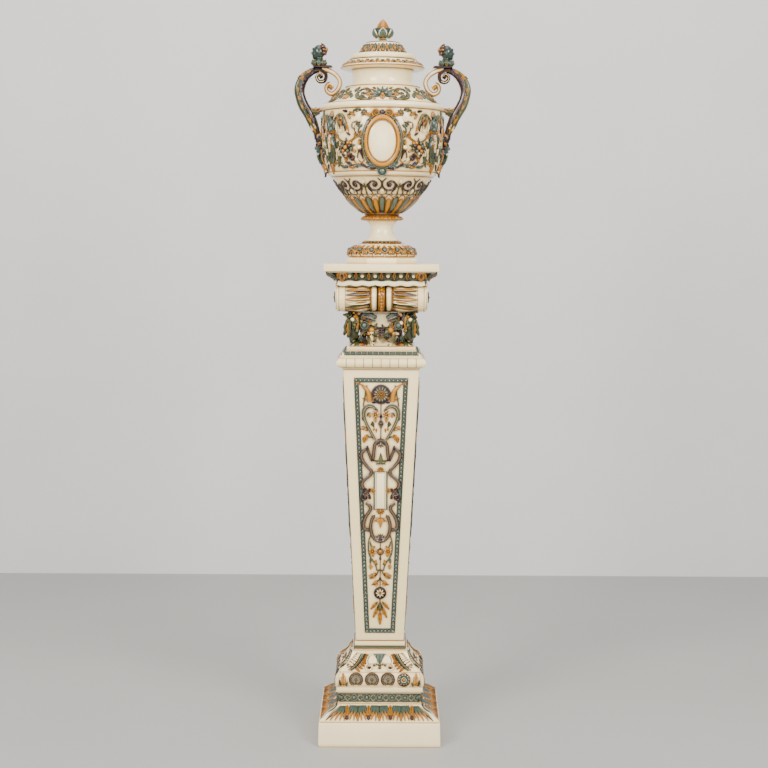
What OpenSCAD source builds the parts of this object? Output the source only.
// Lidded two-handled amphora on its matching square pedestal, in glazed earthenware.
// Frame: origin at the centre of the plinth's underside, +Z up, -Y towards the viewer,
// handles along X. Millimetres.

/* [Pedestal base] */
// Half width of the bottom plinth
plinth_half = 144; // [136:1:152]
// Height of the bottom plinth
plinth_h = 57; // [45:1:60]
// Wall thickness of the pedestal's hollow courses
course_wall = 14; // [12:1:16]

/* [Shaft] */
// Half width at the shaft's foot
shaft_foot_half = 57; // [54:1:59]
// Half width at the shaft's head
shaft_head_half = 89; // [84:1:90]
// Distance from the shaft's edges to the patterned border
border_margin = 22; // [18:1:26]
// Width of the patterned border
border_w = 9; // [7:0.5:11]
// How far the border and the panel relief stand out
relief_h = 3; // [2:0.5:5]

/* [Capital] */
// Half width of the top slab
slab_half = 132; // [126:1:138]
// Radius of the bolsters and of their volutes
volute_r = 34; // [30:1:35]
// Length of a bolster between its two volutes
bolster_len = 172; // [168:1:176]

/* [Urn] */
// Wall thickness of the urn
urn_wall = 9; // [7:0.5:11]
// Across the flats of the eight-sided foot plinth
foot_flats = 163; // [156:1:170]
// Radius of the tie rod that holds the foot to the bowl
rod_r = 5; // [4:0.5:6]
// Half width of the oval medallions
medallion_half_w = 38; // [34:1:40]
// Half height of the oval medallions
medallion_half_h = 54; // [50:1:56]

/* [Lid] */
// Radial clearance of the lid's flange in the neck
lid_clearance = 2; // [1:0.5:3]

/* [Hidden] */

// Colours of the glazes and of the plain materials
cream = "#efe6cf";
amber = "#c98a2b";
teal = "#3f6b62";
aubergine = "#4a2a35";
olive = "#7d7a3c";
steel = "#8d9095";
cork = "#b08a5c";

fine = 96;    // segments of the urn's round walls
coarse = 32;  // segments of small round ornaments
reach = 400;  // longer than any piece, for through cuts

// Heights of the pedestal's joints, from the floor up
leaf_z = plinth_h;
bead_z = 90;
acanthus_z = 119;
astragal_z = 209;
shaft_z = 232;
shaft_h = 654;
shaft_top = shaft_z + shaft_h;
collar_z = shaft_top;
collar_leaf_z = 917;
neck_z = 938;
capital_z = 1018;
abacus_z = 1092;
slab_z = 1114;
slab_h = 17;
slab_top = slab_z + slab_h;

// Half widths of the pedestal's courses
bead_half = 98;
fillet_half = 102;
ovolo_half = 98;
stage_top_half = 66;
hollow_half = 44;     // square hole through the small courses
spigot_gap = 0.5;     // clearance of a spigot in its hole
spigot_h = 18;
torus_half = 97;
torus_bulge = 7;
collar_half = 80;
neck_half = 48;
core_half = 84;
bolster_y = 70;       // distance of a bolster's axis from the middle
bolster_z = 1053;     // height of a bolster's axis
disc_w = 18;          // thickness of a volute disc
tassel_xy = 72;       // distance of a corner bundle from the middle planes

// Heights of the urn's joints
seat_gap = 0.3;       // lift-off faces stand this far apart
foot_z = slab_top + seat_gap;
dome_z = 1146;
stem_z = 1183;
foot_collar_z = 1231;
bowl_z = 1250;
drum_z = 1340;
shoulder_z = 1492;
lip_z = 1580;
neck_bore_r = 60;
rod_gap = 0.6;

// ---------- helper functions and modules ----------

// Smooth curve through points: Catmull-Rom with n steps a span
function span(a, b, c, d, t) =
    0.5 * (2 * b + (c - a) * t + (2 * a - 5 * b + 4 * c - d) * t * t
    + (3 * b - a - 3 * c + d) * t * t * t);
function smooth(p, n) = [
    for (i = [0 : len(p) - 2], k = [0 : n - 1])
        span(p[max(i - 1, 0)], p[i], p[i + 1], p[min(i + 2, len(p) - 1)], k / n),
    p[len(p) - 1]
];

// Points of an arc about [x, z]
function arc(x, z, r, from, to, n = 10) = [
    for (i = [0 : n]) [x, z] + r * [cos(from + (to - from) * i / n), sin(from + (to - from) * i / n)]
];

// Moves every point of an outline
function shifted(p, by) = [for (q = p) q + by];

// Reversed copy of a list
function reversed(p) = [for (i = [len(p) - 1 : -1 : 0]) p[i]];

// Square moulding with mitred corners, from [half width, z] points, bottom to top
module square_course(profile) {
    outline = concat(profile, [for (q = reversed(profile)) [-q[0], q[1]]]);
    intersection() {
        rotate([90, 0, 0]) linear_extrude(2 * reach, center = true) polygon(outline);
        rotate([90, 0, 90]) linear_extrude(2 * reach, center = true) polygon(outline);
    }
}

// Square prism of a half width between two heights
module square_block(half, z0, z1) {
    translate([-half, -half, z0]) cube([2 * half, 2 * half, z1 - z0]);
}

// Square course with a straight square hole through it
module hollow_course(profile, hole_half) {
    difference() {
        square_course(profile);
        square_block(hole_half, profile[0][1] - 1, profile[len(profile) - 1][1] + 1);
    }
}

// Tube along points [x, z] in the XZ plane, with a radius at each point, sides around
module plane_tube(points, radii, flat = 1, sides = 10) {
    n = len(points);
    function dir(i) = let (d = points[min(i + 1, n - 1)] - points[max(i - 1, 0)]) d / norm(d);
    rings = [for (i = [0 : n - 1]) let (d = dir(i)) [for (k = [0 : sides - 1])
        let (a = 360 * k / sides)
        [points[i][0] - d[1] * radii[i] * cos(a), flat * radii[i] * sin(a),
         points[i][1] + d[0] * radii[i] * cos(a)]]];
    verts = [for (r = rings) each r];
    walls = [for (i = [0 : n - 2], k = [0 : sides - 1])
        [i * sides + k, i * sides + (k + 1) % sides,
         (i + 1) * sides + (k + 1) % sides, (i + 1) * sides + k]];
    first = [for (k = [sides - 1 : -1 : 0]) k];
    last = [for (k = [0 : sides - 1]) (n - 1) * sides + k];
    polyhedron(verts, concat([first], walls, [last]));
}

// Radius list that runs evenly between values given along a path of n points
function taper(values, n) = [
    for (i = [0 : n - 1])
        let (u = i / (n - 1) * (len(values) - 1), k = min(floor(u), len(values) - 2))
        values[k] + (values[k + 1] - values[k]) * (u - k)
];

// Children copied to the four faces
module four_faces() { for (a = [0 : 90 : 270]) rotate(a) children(); }

// Children and their mirror image across the YZ plane
module both_sides() { children(); mirror([1, 0, 0]) children(); }

// ---------- pedestal base ----------

module base_plinth() {
    chamfer = 2;
    profile = [
        [plinth_half - chamfer, 0], [plinth_half, chamfer],
        [plinth_half - 1, plinth_h - chamfer], [plinth_half - 1 - chamfer, plinth_h]
    ];
    color(cream) hollow_course(profile, plinth_half - course_wall);
}

// Sloping course of leaves: a fillet, then a shallow S curve inwards
module base_leaf_course() {
    foot_half = 139;
    slope = smooth([[foot_half - 2, 63], [124, 72], [106, 79], [bead_half, bead_z]], 6);
    outer = concat([[foot_half, leaf_z], [foot_half, 62]], slope);
    inner = [
        [foot_half - course_wall, leaf_z - 1], [foot_half - course_wall, leaf_z + 1],
        [bead_half - course_wall, bead_z - 8], [bead_half - course_wall, bead_z + 1]
    ];
    color(teal) difference() {
        square_course(outer);
        square_course(inner);
    }
}

module base_bead_course() {
    recess = 4;
    profile = [
        [bead_half, bead_z], [bead_half, bead_z + 4], [bead_half - recess, bead_z + 5],
        [bead_half - recess, acanthus_z - 4], [bead_half, acanthus_z - 3], [bead_half, acanthus_z]
    ];
    color(teal) hollow_course(profile, bead_half - course_wall);
}

// Fillet, ovolo and concave acanthus stage
module base_acanthus_course() {
    ovolo = smooth([[fillet_half - 2, 132], [fillet_half + 1, 146], [ovolo_half + 2, 160],
        [ovolo_half - 4, 166]], 5);
    cavetto = smooth([[ovolo_half - 2, 167], [84, 176], [73, 190], [stage_top_half, 206]], 5);
    outer = concat(
        [[fillet_half - 1, acanthus_z], [fillet_half, acanthus_z + 2], [fillet_half, 131]],
        ovolo, cavetto, [[stage_top_half - 2, astragal_z]]);
    color(cream) hollow_course(outer, hollow_half);
}

module shaft_astragal() {
    half = 60;
    roll = arc(half, 218, 5, -80, 80, 8);
    outer = concat([[half + 2, astragal_z], [half + 2, 212]], roll, [[half - 1, 224], [half - 1, shaft_z]]);
    color(teal) hollow_course(outer, hollow_half);
}

// ---------- shaft and its panels ----------

function shaft_half(z) =
    shaft_foot_half + (shaft_head_half - shaft_foot_half) * (z - shaft_z) / shaft_h;
lean = atan((shaft_head_half - shaft_foot_half) / shaft_h);

// Hollow tapered shaft with a spigot that drops into the base
module shaft() {
    outer = [[shaft_foot_half, shaft_z], [shaft_head_half, shaft_top]];
    inner = [
        [shaft_foot_half - course_wall, shaft_z - 1],
        [shaft_head_half - course_wall, shaft_top + 1]
    ];
    spigot_half = hollow_half - spigot_gap;
    color(cream) {
        difference() {
            square_course(outer);
            square_course(inner);
        }
        difference() {
            square_block(spigot_half, shaft_z - spigot_h, shaft_z + 1);
            square_block(spigot_half - 8, shaft_z - spigot_h - 1, shaft_z + 2);
        }
    }
}

// Lays a flat shape drawn in [x, height] on the front face, standing out by h
module on_front(h, sink = 0) {
    translate([0, -shaft_foot_half, shaft_z]) rotate([90 + lean, 0, 0])
        translate([0, 0, -sink]) linear_extrude(h + sink) children();
}

// Heights on the sloping face, from the shaft's foot
panel_low = 20;
panel_high = shaft_h - 19;
function face_half(s) = shaft_half(shaft_z + s) - border_margin;

module border_shape() {
    low = face_half(panel_low);
    high = face_half(panel_high);
    difference() {
        polygon([[-low, panel_low], [low, panel_low], [high, panel_high], [-high, panel_high]]);
        polygon([
            [-low + border_w, panel_low + border_w], [low - border_w, panel_low + border_w],
            [high - border_w, panel_high - border_w], [-high + border_w, panel_high - border_w]
        ]);
    }
}

module panel_borders() {
    color(teal) four_faces() on_front(relief_h) border_shape();
}

// Bar between two points, for strapwork
module bar(a, b, w) {
    d = b - a;
    translate(a) rotate(atan2(d[1], d[0])) translate([0, -w / 2]) square([norm(d), w]);
}

// Leaf outline with its foot at the origin, pointing up
module leaf_shape(length, width) {
    side = smooth([[0, 0], [width / 2, length * 0.45], [width * 0.28, length * 0.8], [0, length]], 5);
    polygon(concat(side, [for (q = reversed(side)) [-q[0], q[1]]]));
}

// Panel ornament: rosette, vine, strapwork round a tablet, lower vine, rosette, leaf spray
module relief_shape() {
    stem_w = 3;
    strap_w = 6;
    translate([0, 596]) circle(23, $fn = coarse);
    bar([0, 60], [0, 600], stem_w);
    translate([0, 525]) circle(9, $fn = coarse);
    both_sides() {
        translate([0, 495]) rotate(-25) leaf_shape(75, 14);
        translate([33, 560]) rotate(-6) leaf_shape(62, 16);
        bar([28, 562], [36, 570], stem_w);
        bar([0, 494], [28, 562], stem_w);
        bar([0, 480], [18, 470], strap_w);
        bar([18, 470], [24, 430], strap_w);
        bar([22, 474], [44, 448], strap_w);
        bar([44, 448], [22, 404], strap_w);
        bar([22, 404], [34, 385], strap_w);
        bar([34, 385], [30, 345], strap_w);
        bar([30, 345], [14, 325], strap_w);
        bar([14, 325], [32, 280], strap_w);
        bar([32, 280], [18, 262], strap_w);
        bar([18, 262], [0, 258], strap_w);
        bar([0, 245], [22, 225], stem_w);
        bar([22, 225], [0, 180], stem_w);
        translate([0, 175]) rotate(-55) leaf_shape(28, 10);
        translate([0, 100]) rotate(-40) leaf_shape(36, 10);
    }
    translate([-17, 310]) square([34, 104]);
    translate([0, 122]) circle(14, $fn = coarse);
    translate([0, 66]) rotate(180) translate([0, -40]) leaf_shape(40, 10);
}

module panel_relief(turn) {
    color(aubergine) rotate(turn) on_front(relief_h + 1) relief_shape();
}

// ---------- collar and neck ----------

module collar_torus() {
    middle = 902;
    bulge = smooth([[torus_half - 4, 891], [torus_half + 5, 895], [torus_half + torus_bulge, middle],
        [torus_half + 5, 909], [torus_half - 3, 913]], 5);
    outer = concat([[91, collar_z], [91, 890]], bulge, [[95, 913.5], [95, collar_leaf_z]]);
    color(cream) hollow_course(outer, 60);
}

module collar_leaf_course() {
    outer = concat([[93, collar_leaf_z]],
        smooth([[92, 918], [90, 923], [84, 926], [82, 928]], 4),
        [[collar_half, 928.5], [collar_half, neck_z]]);
    color(teal) hollow_course(outer, 40);
}

// Concave leafy foot and plain neck, with a spigot into the collar
module neck_block() {
    curve = smooth([[75, neck_z], [64, 944], [54, 954], [neck_half, 970]], 6);
    color(cream) difference() {
        union() {
            square_course(concat(curve, [[neck_half, capital_z]]));
            square_block(40 - spigot_gap, neck_z - spigot_h, neck_z + 1);
        }
        square_block(30, neck_z - spigot_h - 1, capital_z + 1);
    }
}

// ---------- capital ----------

module capital_core() {
    color(cream) difference() {
        union() {
            square_block(bolster_y, capital_z, abacus_z);
            square_block(core_half, 1080, abacus_z);
        }
        square_block(30, capital_z - 1, abacus_z + 1);
        for (side = [-1, 1])
            translate([0, side * bolster_y, bolster_z]) rotate([0, 90, 0])
                cylinder(r = volute_r, h = 2 * reach, center = true, $fn = fine);
    }
}

// One bolster: a roll along X that swells at its ends, narrow under the strap
module bolster(y) {
    half = bolster_len / 2;
    side = smooth([[21, -18], [27, -30], [volute_r - 2, -58], [volute_r - 3, -half]], 5);
    outline = concat([[0, -half]], reversed(side), [for (q = side) [q[0], -q[1]]], [[0, half]]);
    color(amber) translate([0, y, bolster_z]) rotate([0, 90, 0])
        rotate_extrude($fn = fine) polygon(outline);
}

// Belt of three bands round the waist of each bolster
module bolster_straps() {
    belt_half = 17.5;
    color(cream) for (side = [-1, 1])
        translate([0, side * bolster_y, bolster_z]) rotate([0, 90, 0])
            difference() {
                rotate_extrude($fn = fine) polygon([
                    [20, -belt_half], [29, -belt_half], [30, -10], [32, -9],
                    [32, 9], [30, 10], [29, belt_half], [20, belt_half]
                ]);
                bolster_core();
            }
}

// The part of a bolster that passes inside its belt
module bolster_core() { cylinder(r = 21.2, h = 40, center = true, $fn = fine); }

module volute_discs() {
    color(cream) for (side = [-1, 1], end = [-1, 1])
        translate([end * (bolster_len / 2 + disc_w / 2), side * bolster_y, bolster_z])
            rotate([0, 90, 0]) cylinder(r = volute_r, h = disc_w, center = true, $fn = fine);
}

module volute_rosettes() {
    face_x = bolster_len / 2 + disc_w;
    color(teal) for (side = [-1, 1], end = [-1, 1])
        translate([end * face_x, side * bolster_y, bolster_z]) rotate([0, end * 90, 0])
            rotate_extrude($fn = coarse) polygon(concat([[0, 0]], arc(0, -6, 15, 24, 90, 6)));
}

// Festoon of fruit across one face of the neck
module garland(turn) {
    path = smooth([[-66, 1010], [-48, 992], [-26, 976], [0, 968], [26, 976], [48, 992], [66, 1010]], 3);
    color(olive) rotate(turn) translate([0, -68, 0])
        plane_tube(path, taper([8, 11, 13, 14, 13, 11, 8], len(path)));
}

// Bundles that hang at the four corners of the neck
module garland_tassels() {
    drop = smooth([[5, 1014], [14, 1000], [17, 978], [10, 962], [3, 956]], 4);
    color(olive) four_faces() translate([-tassel_xy, -tassel_xy, 0])
        rotate_extrude($fn = coarse) polygon(concat([[0, 1014]], drop, [[0, 956]]));
}

module abacus_moulding() {
    curve = smooth([[103, abacus_z], [106, 1099], [116, 1107], [126, slab_z]], 6);
    color(teal) hollow_course(curve, 60);
}

module abacus_slab() {
    edge = 3;
    profile = [
        [slab_half - edge, slab_z], [slab_half, slab_z + edge],
        [slab_half, slab_top - edge], [slab_half - edge, slab_top]
    ];
    color(cream) square_course(profile);
}

// ---------- urn: foot ----------

module foot_plinth() {
    color(cream) difference() {
        union() {
            translate([0, 0, foot_z]) rotate(22.5)
                cylinder(d = foot_flats / cos(22.5), h = 12.4, $fn = 8);
            translate([0, 0, foot_z + 12]) cylinder(r = 78, h = dome_z - foot_z - 12, $fn = fine);
        }
        translate([0, 0, foot_z - 1]) cylinder(r = 34, h = 40, $fn = fine);
    }
}

module foot_dome() {
    curve = smooth([[79, 1149], [80.5, 1155], [76, 1163], [66, 1170], [54, 1176]], 5);
    color(amber) difference() {
        rotate_extrude($fn = fine) polygon(concat([[0, dome_z], [78, dome_z]], curve,
            [[44, 1177.5], [44, stem_z], [0, stem_z]]));
        translate([0, 0, dome_z - 1]) cylinder(r = 34, h = 20, $fn = fine);
        rod_hole();
    }
}

module rod_hole() {
    translate([0, 0, foot_z]) cylinder(r = rod_r + rod_gap, h = 200, $fn = coarse);
}

module foot_stem() {
    curve = smooth([[41, 1186], [32, 1195], [27, 1207], [28, 1219], [35, 1228]], 6);
    color(cream) difference() {
        rotate_extrude($fn = fine) polygon(concat([[0, stem_z], [41, stem_z]], curve,
            [[37, foot_collar_z], [0, foot_collar_z]]));
        rod_hole();
    }
}

module foot_collar() {
    color(amber) difference() {
        rotate_extrude($fn = fine) polygon([
            [0, foot_collar_z], [46, foot_collar_z], [49, 1234], [48.5, 1237], [42, 1241],
            [40, 1244], [42, 1246], [42, 1249], [41, bowl_z], [0, bowl_z]
        ]);
        rod_hole();
    }
}

// ---------- urn: hollow body ----------

bowl_side = smooth([[42, bowl_z], [60, 1261], [77, 1276], [90, 1292], [103, 1309], [116, 1329]], 4);
band_side = [[121, 1333], [126, 1336], [128, drum_z]];
drum_side = smooth([[128, drum_z + 5], [134.5, 1361], [141, 1390], [143, 1420], [142.5, 1450],
    [141, 1483]], 4);
shoulder_side = smooth([[132, 1500], [122, 1508], [109, 1519.5], [96, 1531], [87, 1537]], 4);
neck_side = smooth([[74, 1543.5], [70, 1551], [69.5, 1561], [71.5, 1571], [73.5, 1578]], 4);

// Wall of revolution between an outer and an inner outline
module shell(outer, inner) {
    rotate_extrude($fn = fine) polygon(concat(outer, reversed(inner)));
}

module urn_bowl() {
    floor_z = bowl_z + 12;
    inner = concat([[0, floor_z], [40, floor_z]],
        [for (q = bowl_side) if (q[1] > floor_z + 8) q - [urn_wall + 4, 0]],
        [[119, drum_z]]);
    outer = concat([[0, bowl_z]], bowl_side, band_side);
    color(cream) difference() {
        shell(outer, inner);
        rod_hole();
    }
}

module urn_drum() {
    outer = concat([[128, drum_z]], drum_side, [[142, 1484]],
        arc(137.5, shoulder_z, 8, -70, 0, 5));
    inner = concat([[119, drum_z]], [for (q = drum_side) q - [urn_wall, 0]], [[132, shoulder_z]]);
    color(cream) shell(outer, inner);
}

module urn_neck() {
    outer = concat(arc(137.5, shoulder_z, 8, 0, 80, 5), shoulder_side,
        [[87, 1541], [76, 1542.5]], neck_side, [[73, lip_z]]);
    inner = concat([[132, shoulder_z]],
        smooth([[124, 1495], [112, 1504], [96, 1517], [80, 1529], [66, 1537], [neck_bore_r, 1546]], 4),
        [[neck_bore_r, lip_z]]);
    color(cream) shell(outer, inner);
}

// ---------- urn: tie rod through the foot ----------

module ring(r_in, r_out, z0, h, sides = coarse) {
    translate([0, 0, z0]) difference() {
        cylinder(r = r_out, h = h, $fn = sides);
        translate([0, 0, -1]) cylinder(r = r_in, h = h + 2, $fn = coarse);
    }
}

bowl_floor = bowl_z + 12;
recess_top = dome_z + 19;

module tie_rod() {
    color(steel) translate([0, 0, recess_top - 20]) cylinder(r = rod_r, h = 140, $fn = coarse);
}

module tie_nuts() {
    color(steel) {
        ring(rod_r + 0.05, 9.5, bowl_floor + 5, 8, 6);
        ring(rod_r + 0.05, 9.5, recess_top - 13, 8, 6);
    }
}

module tie_washers() {
    color(steel) {
        ring(rod_r + rod_gap, 18, bowl_floor + 3, 2);
        ring(rod_r + rod_gap, 18, recess_top - 5, 2);
    }
}

module cork_washers() {
    color(cork) {
        ring(rod_r + rod_gap, 20, bowl_floor, 3);
        ring(rod_r + rod_gap, 20, recess_top - 3, 3);
    }
}

// ---------- urn: handles, drawn on the right side ----------

stem_path = smooth([[150, 1582], [166, 1577], [180, 1566], [188, 1552], [192, 1534], [189, 1515],
    [181, 1497], [169, 1478], [160, 1457], [154, 1436], [152, 1424]], 4);
scroll_path = smooth([[142, 1584], [125, 1579], [108, 1568], [102, 1553], [106, 1536], [117, 1526],
    [129, 1530], [132, 1541], [125, 1548], [118, 1543], [121, 1538]], 3);
volute_path = smooth([[158, 1579], [144, 1579], [133, 1568], [138, 1555], [150, 1555], [155, 1566],
    [147, 1572], [142, 1566], [147, 1562]], 3);
shelf_z = 1586;

module handle_stem() {
    color(aubergine)
        plane_tube(stem_path, taper([6, 7, 8, 8, 7.5, 8, 8.5, 8.5, 7.5, 6.5, 7], len(stem_path)), 1.1);
}

// Leaf sheath down the outside of the stem, and the bracket to the drum
module handle_leaves() {
    sheath = smooth([[182, 1572], [194, 1556], [200, 1537], [197, 1517], [190, 1497], [177, 1474],
        [167, 1452]], 3);
    bracket = smooth([[146, 1490], [158, 1487], [170, 1484]], 3);
    color(olive) {
        plane_tube(sheath, taper([2.5, 4, 6, 5.5, 5, 4.5, 3], len(sheath)), 1.7);
        plane_tube(bracket, taper([8, 6, 6], len(bracket)), 1.4);
    }
}

module handle_scroll() {
    color(cream) plane_tube(scroll_path, taper([3.5, 4, 4, 4, 3.6, 3.4, 3, 2.8, 2.6, 3], len(scroll_path)), 1.8);
}

module handle_volute() {
    color(aubergine) plane_tube(volute_path, taper([4.5, 4, 4, 3.6, 3.2, 2.8, 2.5, 3], len(volute_path)), 2.4);
}

module handle_shelf() {
    color(aubergine) translate([119, -14, shelf_z]) cube([44, 28, 4]);
}

// Small bust on the shelf: shoulders and a head
module bust() {
    color(teal) translate([151, 0, shelf_z + 4]) {
        rotate_extrude($fn = coarse) polygon([
            [0, 0], [13, 0], [15, 5], [14, 10], [11, 15], [0, 20]
        ]);
        rotate_extrude($fn = coarse)
            polygon(smooth([[0, 8], [12, 14], [19.5, 27], [17, 41], [8, 48], [0, 50]], 4));
    }
}

// Bearded mask on the drum's side, below the handle
module mask() {
    side = smooth([[0, 1346], [10, 1356], [17, 1380], [15, 1404], [9, 1419], [0, 1422]], 4);
    color(teal) difference() {
        translate([143, 0, 0]) rotate_extrude($fn = coarse) polygon(side);
        rotate_extrude($fn = fine) polygon(concat([[0, 1300], [128, 1300], [128, drum_z]],
            drum_side, [[142, 1484], [0, 1484]]));
    }
}

module on_side(side) {
    if (side == "right") children();
    else mirror([1, 0, 0]) children();
}

// ---------- urn: applied relief on the drum ----------

medallion_z = 1409;
frame_w = 9;

// Oval prism through the drum wall's outer skin at the front
module oval(half_w, half_h, y0, depth) {
    outline = [for (i = [0 : 47]) [half_w * cos(7.5 * i), half_h * sin(7.5 * i)]];
    translate([0, y0, medallion_z]) rotate([90, 0, 0])
        linear_extrude(depth) polygon(outline);
}

// Skin of the drum between two distances from its surface
module drum_skin(from, to) {
    function grown(by) = concat([for (q = drum_side) q + [by, 0]]);
    rotate_extrude($fn = fine) polygon(concat(grown(to), reversed(grown(from))));
}

module medallion_frames() {
    color(amber) for (turn = [0, 180]) rotate(turn) intersection() {
        drum_skin(0.05, 7);
        difference() {
            oval(medallion_half_w, medallion_half_h, -100, 80);
            oval(medallion_half_w - frame_w, medallion_half_h - frame_w, -90, 100);
        }
    }
}

module medallion_plaques() {
    color(cream) for (turn = [0, 180]) rotate(turn) intersection() {
        drum_skin(0.05, 4.5);
        oval(medallion_half_w - frame_w - 0.1, medallion_half_h - frame_w - 0.1, -100, 80);
    }
}

// Winged figure, a tapered body with two raised wings, drawn flat and bent round the drum
module winged_figures() {
    turns = [54, -54, 126, -126];
    color(olive) for (turn = turns) intersection() {
        drum_skin(0.05, 7);
        rotate(turn) translate([0, -100, 0]) rotate([90, 0, 0]) linear_extrude(80) {
            polygon([[-4, 1350], [4, 1350], [11, 1400], [8, 1440], [0, 1470], [-8, 1440], [-11, 1400]]);
            translate([0, 1468]) circle(7, $fn = coarse);
            both_sides() translate([8, 1430]) rotate(-35) leaf_shape(48, 16);
        }
    }
}

// Hanging bunches of fruit between figure and medallion
module fruit_swags() {
    turns = [35, -35, 145, -145];
    color(olive) for (turn = turns) intersection() {
        drum_skin(0.05, 8);
        rotate(turn) translate([0, -100, 0]) rotate([90, 0, 0]) linear_extrude(80) {
            translate([0, 1396]) circle(12, $fn = coarse);
            both_sides() bar([0, 1396], [16, 1420], 6);
        }
    }
}

// ---------- lid ----------

module lid_shell() {
    flange_r = neck_bore_r - lid_clearance;
    seat_z = lip_z + seat_gap;
    dome = smooth([[40, 1642], [46, 1633], [50, 1624], [55, 1616]], 4);
    roll = arc(64, 1607, 14.5, 35, -20, 6);
    brim = smooth([[79, 1602.5], [84, 1597], [91, 1592], [98, 1587]], 3);
    under = [
        [97, 1583], [88, seat_z], [flange_r, seat_z], [flange_r, seat_z - 14],
        [flange_r - 5, seat_z - 14], [flange_r - 5, 1584], [66, 1597], [48, 1606], [38, 1632], [0, 1636]
    ];
    color(cream) rotate_extrude($fn = fine) polygon(concat(
        [[0, 1655], [7, 1655], [7, 1651], [12, 1645], [34, 1643.5]], dome, [[62, 1615], [70, 1613]],
        roll, brim, under));
}

bud_z = 1664;  // level at which the bud sits in its calyx

module finial_calyx() {
    cup = smooth([[6, 1655], [14, 1656.5], [22, 1661], [25, 1668], [23, 1676]], 4);
    color(teal) rotate_extrude($fn = coarse)
        polygon(concat([[0, 1655]], cup, [[18, 1676], [16, 1670], [11, bud_z], [0, bud_z]]));
}

module finial_bud() {
    side = smooth([[9, bud_z], [13.5, 1674], [11, 1686], [5, 1695], [0, 1699]], 5);
    color(amber) rotate_extrude($fn = coarse) polygon(concat([[0, bud_z]], side));
}

// ---------- nodes ----------

base_plinth();
base_leaf_course();
base_bead_course();
base_acanthus_course();
shaft_astragal();
shaft();
panel_borders();
panel_relief(0);  // panel_relief_front
panel_relief(90);  // panel_relief_right
panel_relief(180);  // panel_relief_back
panel_relief(270);  // panel_relief_left
collar_torus();
collar_leaf_course();
neck_block();
capital_core();
bolster(-bolster_y);  // bolster_front
bolster(bolster_y);  // bolster_back
bolster_straps();
volute_discs();
volute_rosettes();
garland(0);  // garland_front
garland(90);  // garland_right
garland(180);  // garland_back
garland(270);  // garland_left
garland_tassels();
abacus_moulding();
abacus_slab();
foot_plinth();
foot_dome();
foot_stem();
foot_collar();
urn_bowl();
urn_drum();
urn_neck();
tie_rod();
tie_nuts();
tie_washers();
cork_washers();
on_side("left") handle_stem();  // handle_stem_left
on_side("right") handle_stem();  // handle_stem_right
on_side("left") handle_leaves();  // handle_leaves_left
on_side("right") handle_leaves();  // handle_leaves_right
on_side("left") handle_scroll();  // handle_scroll_left
on_side("right") handle_scroll();  // handle_scroll_right
on_side("left") handle_volute();  // handle_volute_left
on_side("right") handle_volute();  // handle_volute_right
on_side("left") handle_shelf();  // handle_shelf_left
on_side("right") handle_shelf();  // handle_shelf_right
on_side("left") bust();  // bust_left
on_side("right") bust();  // bust_right
on_side("left") mask();  // mask_left
on_side("right") mask();  // mask_right
medallion_frames();
medallion_plaques();
winged_figures();
fruit_swags();
lid_shell();
finial_calyx();
finial_bud();
